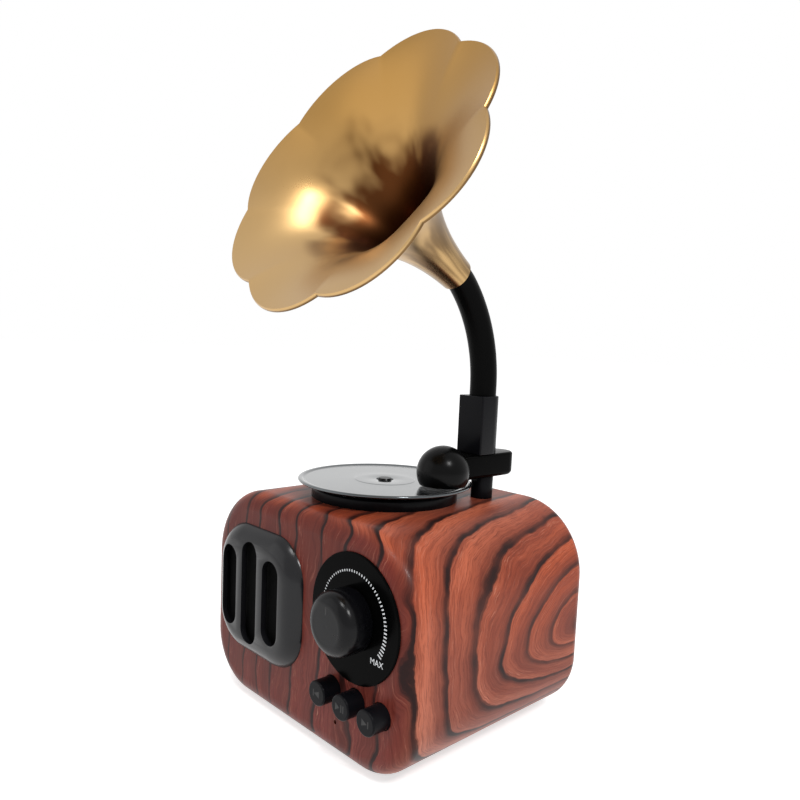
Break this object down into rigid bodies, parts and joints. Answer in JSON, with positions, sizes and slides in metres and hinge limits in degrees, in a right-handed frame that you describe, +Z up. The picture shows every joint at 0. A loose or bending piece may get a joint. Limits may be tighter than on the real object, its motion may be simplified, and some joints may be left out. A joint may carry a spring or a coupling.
{
  "type": "horn loudspeaker",
  "caption": "Small desk loudspeaker in the form of a gramophone: rounded wood-print cabinet with grille, dial, knob and buttons, platter and tonearm on top, and a petalled horn on a bent tube.",
  "frame": {"origin": "centre of the base pad's underside, on the surface that the speaker stands on", "axes": "+Z up, -Y towards the front with the grille and knob, +X to the right seen from the front"},
  "size_m": [0.1175, 0.1077, 0.2102],
  "materials": {
    "wood_print": "wood-print lacquer, glossy",
    "black_gloss": "polished black",
    "black_satin": "satin black",
    "horn_gold": "satin gold lacquer",
    "tube_black": "satin black paint",
    "rubber_pad": "matt",
    "mesh_cloth": "woven black",
    "zinc_steel": "zinc plated",
    "black_steel": "black passivated",
    "magnet_ferrite": "ground ferrite with plated cup",
    "paper_cone": "felted paper",
    "circuit_board": "green solder mask",
    "part_black": "moulded",
    "port_steel": "nickel plated",
    "battery_wrap": "shrink sleeve",
    "slider_white": "moulded"
  },
  "bodies": {
    "cabinet": {"cabinet_shell": "wood_print", "base_pad": "rubber_pad", "rear_cover": "black_satin", "rear_cover_screws": "black_steel", "speaker_grille": "black_gloss", "grille_cloth": "mesh_cloth", "driver_basket": "black_steel", "driver_cone": "paper_cone", "dust_cap": "paper_cone", "driver_magnet": "magnet_ferrite", "driver_screws": "zinc_steel", "dial_plate": "black_gloss", "potentiometer": "zinc_steel", "shaft_nut": "zinc_steel", "button_switches": "part_black", "front_board": "circuit_board", "front_board_screws": "zinc_steel", "microphone": "port_steel", "main_board": "circuit_board", "main_board_screws": "zinc_steel", "charging_port": "port_steel", "aux_jack": "part_black", "card_slot": "port_steel", "power_switch_body": "port_steel", "battery_cell": "battery_wrap", "battery_holder": "part_black", "turntable_base": "black_satin", "platter_spindle": "zinc_steel", "top_screws": "zinc_steel", "tonearm_post": "black_satin", "tonearm": "black_gloss", "soundbox": "black_gloss", "horn_socket": "black_satin"},
    "knob": {"volume_knob": "black_gloss", "knob_shaft": "zinc_steel"},
    "previous_button": {"button_previous": "black_satin"},
    "play_button": {"button_play": "black_satin"},
    "next_button": {"button_next": "black_satin"},
    "power_slider": {"power_switch_slider": "slider_white"},
    "platter": {"record_platter": "black_gloss"},
    "horn": {"horn_tube": "tube_black", "horn_bell": "horn_gold"}
  },
  "joints": [
    {"name": "volume_turn", "type": "hinge", "parent": "cabinet", "child": "knob", "pos_m": [0.0274, -0.047, 0.0461], "axis": [0, 1, 0], "range_deg": [-125, 125]},
    {"name": "previous_press", "type": "slide", "parent": "cabinet", "child": "previous_button", "axis": [0, 1, 0], "range_m": [0, 0.0008], "stiffness_N_per_m": 1500},
    {"name": "play_press", "type": "slide", "parent": "cabinet", "child": "play_button", "axis": [0, 1, 0], "range_m": [0, 0.0008], "stiffness_N_per_m": 1500},
    {"name": "next_press", "type": "slide", "parent": "cabinet", "child": "next_button", "axis": [0, 1, 0], "range_m": [0, 0.0008], "stiffness_N_per_m": 1500},
    {"name": "power_slide", "type": "slide", "parent": "cabinet", "child": "power_slider", "axis": [1, 0, 0], "range_m": [0, 0.003]},
    {"name": "platter_spin", "type": "hinge", "parent": "cabinet", "child": "platter", "pos_m": [-0.0003, -0.0058, 0.077], "axis": [0, 0, 1], "continuous": true},
    {"name": "horn_swivel", "type": "hinge", "parent": "cabinet", "child": "horn", "pos_m": [0.0195, 0.0192, 0.1], "axis": [0, 0, 1], "continuous": true}
  ]
}
